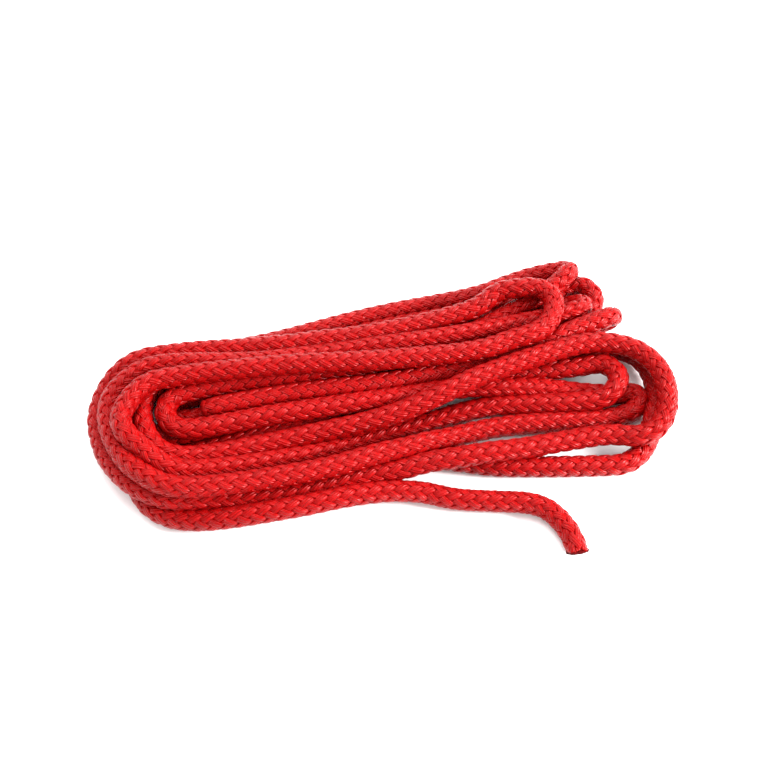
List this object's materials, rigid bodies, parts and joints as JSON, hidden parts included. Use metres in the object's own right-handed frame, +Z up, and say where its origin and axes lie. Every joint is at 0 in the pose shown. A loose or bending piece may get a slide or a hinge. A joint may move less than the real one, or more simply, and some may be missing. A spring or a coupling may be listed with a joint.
{
  "type": "coiled dock line",
  "caption": "Braided mooring rope folded into a flat elongated hank, with one cut end running free, for tying a boat to a dock.",
  "frame": {"origin": "middle of the bounding box's underside, on the surface that the hank lies on", "axes": "+X along the hank's long side towards its open, stepped end; +Y towards its back; +Z up. The free tail leaves on the -Y side."},
  "size_m": [0.278, 0.1614, 0.031],
  "materials": {
    "braided_rope": "satin filament yarn",
    "melted_end": "melted, semi-gloss"
  },
  "bodies": {
    "root": {"rope_hank": "braided_rope", "rope_tail": "braided_rope", "outer_end_seal": "melted_end", "inner_end_seal": "melted_end"}
  },
  "joints": []
}
